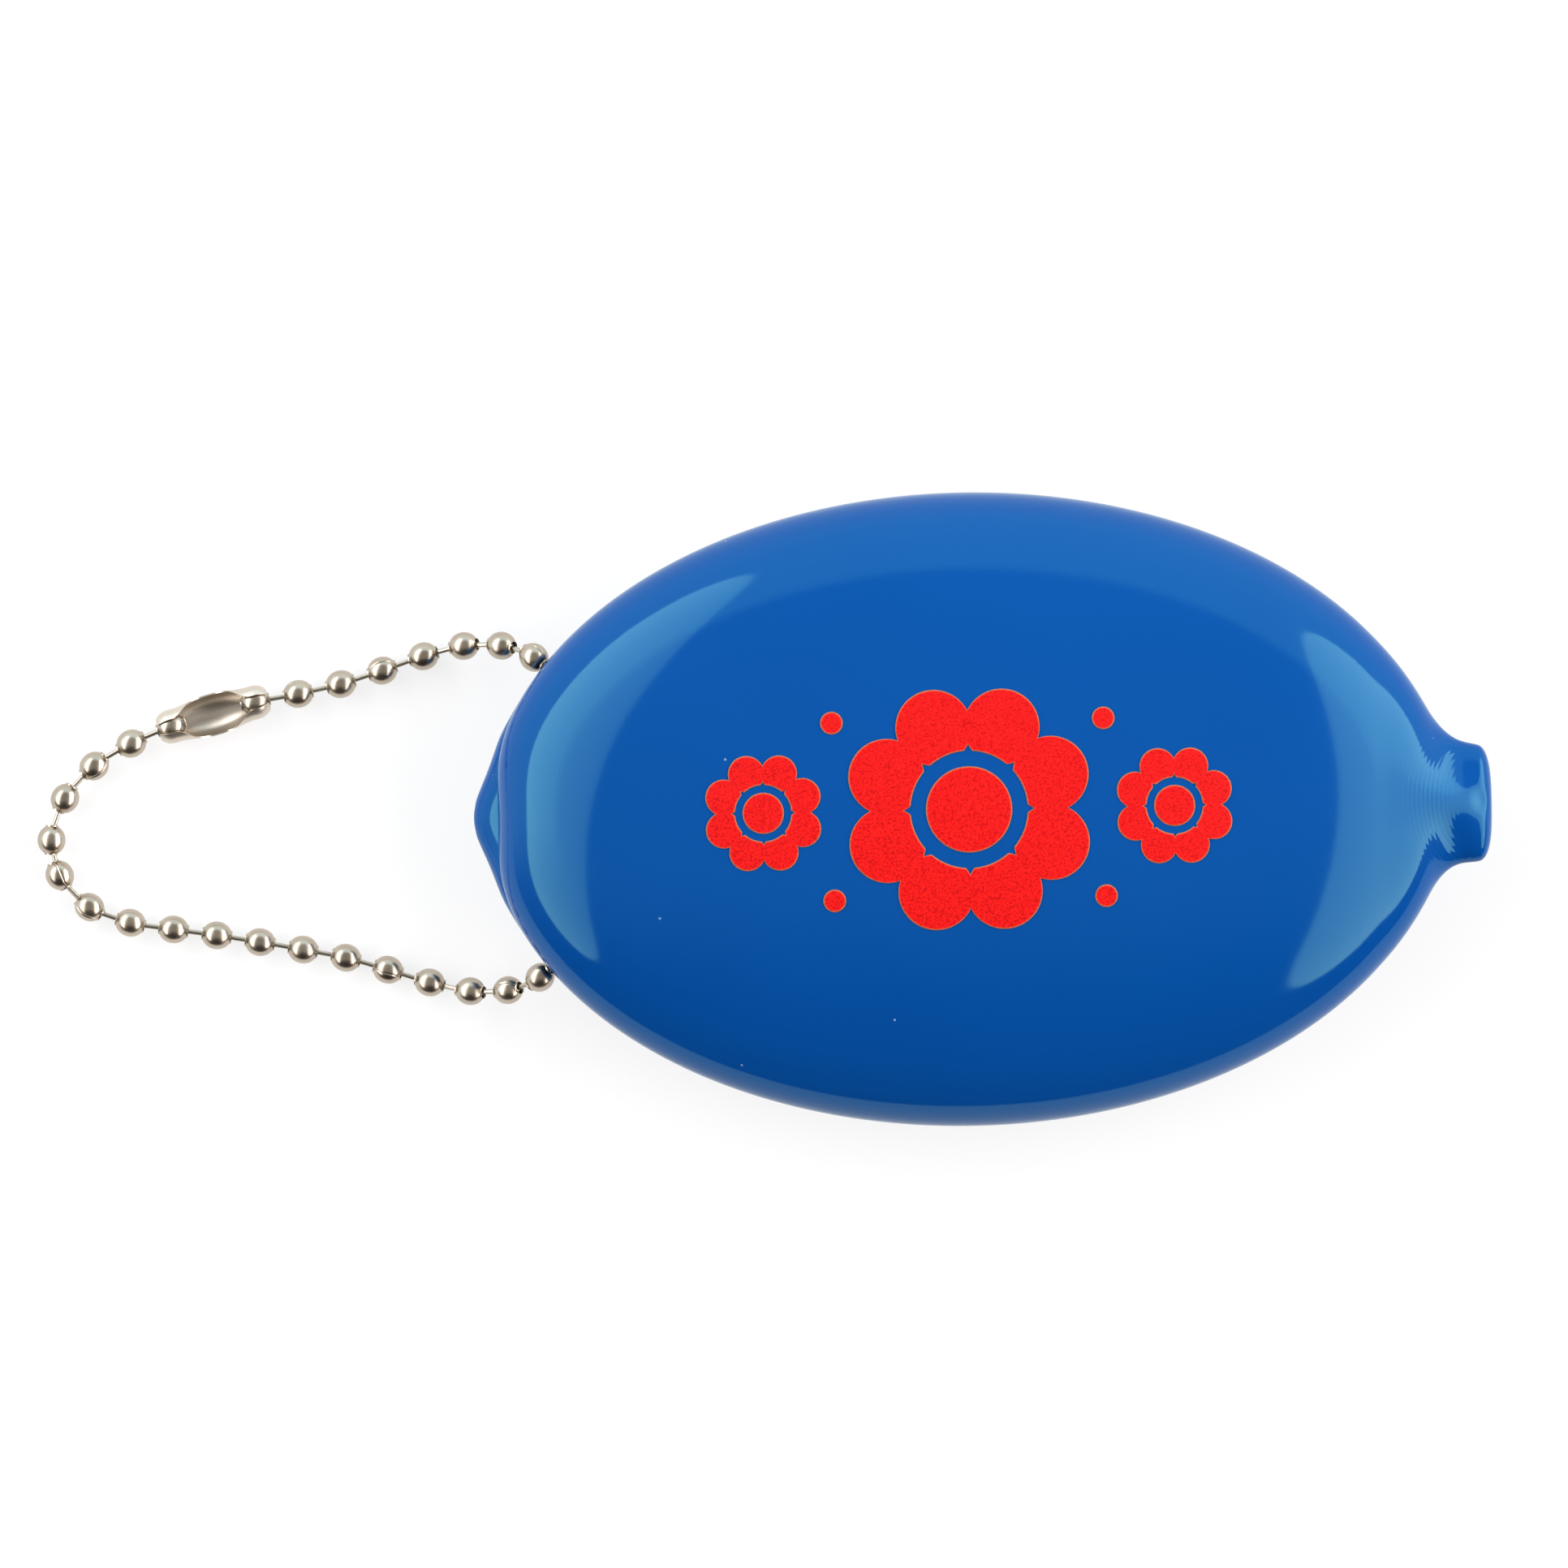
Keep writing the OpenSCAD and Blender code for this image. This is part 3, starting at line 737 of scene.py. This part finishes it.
def table_material():
    """White with the purse's shadow where the camera looks, in gloss and through glass, a plain grey for
    all other light, and clear from below."""
    made, tree, shader, add = new_material("white_table")
    tree.nodes.remove(shader)
    ray = add("ShaderNodeLightPath").outputs
    seen = maths(add, "MAXIMUM", ray["Is Camera Ray"], ray["Is Glossy Ray"])
    seen = maths(add, "MAXIMUM", seen, ray["Is Transmission Ray"])
    glow = add("ShaderNodeEmission", {"Color": (1, 1, 1, 1), "Strength": 0.74})
    shaded = add("ShaderNodeBsdfDiffuse", {"Color": (0.28, 0.28, 0.28, 1)})
    white = add("ShaderNodeAddShader", {0: glow.outputs[0], 1: shaded.outputs[0]})
    plain = add("ShaderNodeBsdfDiffuse", {"Color": (0.5, 0.5, 0.5, 1)})
    lit = add("ShaderNodeMixShader", {0: seen, 1: plain.outputs[0], 2: white.outputs[0]})
    clear = add("ShaderNodeBsdfTransparent")
    below = add("ShaderNodeNewGeometry").outputs["Backfacing"]
    sided = add("ShaderNodeMixShader", {0: below, 1: lit.outputs[0], 2: clear.outputs[0]})
    tree.links.new(sided.outputs[0], tree.nodes["Material Output"].inputs["Surface"])
    return made


floor_mesh.materials.append(table_material())

LAMP_AWAY = 1.2


def soft_box(name, azimuth, elevation, size, colour, low, high):
    """An oval lamp that faces the purse, set by its bearing, its height, its size, its colour and how
    bright its face is at its low and its high edge. Its energy is pi times its area, at which its face
    is as bright as those two say."""
    lamp = bpy.data.lights.new(name, "AREA")
    lamp.shape = "ELLIPSE"
    lamp.size, lamp.size_y = size
    lamp.energy = math.pi * math.pi / 4 * size[0] * size[1]
    lamp.color = colour
    lamp.use_nodes = True
    add = adder(lamp.node_tree)
    face = add("ShaderNodeNewGeometry").outputs["Parametric"]
    upward = add("ShaderNodeSeparateXYZ", {0: face}).outputs["Y"]
    strength = lamp.node_tree.nodes["Emission"].inputs["Strength"]
    lamp.node_tree.links.new(spread(add, upward, low, high), strength)
    a, e = math.radians(azimuth), math.radians(elevation)
    place = Vector((math.cos(a) * math.cos(e), math.sin(a) * math.cos(e), math.sin(e)))
    made = bpy.data.objects.new(name, lamp)
    made.rotation_euler = place.to_track_quat("Z", "Y").to_euler()
    made.location = place * LAMP_AWAY
    made.visible_camera = False
    scene.collection.objects.link(made)


soft_box("left_box", 166, 38, (2.6, 0.68), (1.0, 0.96, 0.96), 5.4, 1.6)
soft_box("right_box", -2, 34, (2.2, 0.84), (1.0, 0.93, 0.92), 6.0, 2.6)

world = bpy.data.worlds.new("studio")
scene.world = world
world.use_nodes = True
NEAR_DARK, CEILING, WALLS = (0.045, 0.040, 0.036), (0.34, 0.34, 0.33), (1.12, 1.32, 1.43)
sky = world.node_tree
add = adder(sky)
way = add("ShaderNodeSeparateXYZ", {0: add("ShaderNodeTexCoord").outputs["Generated"]}).outputs
from_near = spread(add, way["Y"], 0.0, 1.0, -0.65, -0.15, easing="SMOOTHSTEP")
below_ceiling = spread(add, way["Z"], 1.0, 0.0, 0.64, 0.70, easing="SMOOTHSTEP")
far_side = spread(add, way["Y"], 0.0, 1.0, -0.3, 0.05, easing="SMOOTHSTEP")
on_walls = maths(add, "MULTIPLY", below_ceiling, far_side)
tone = colour_mix(add, on_walls, colour_mix(add, from_near, NEAR_DARK, CEILING), WALLS)
sky.links.new(tone, sky.nodes["Background"].inputs["Color"])
scene.view_settings.view_transform = "Standard"
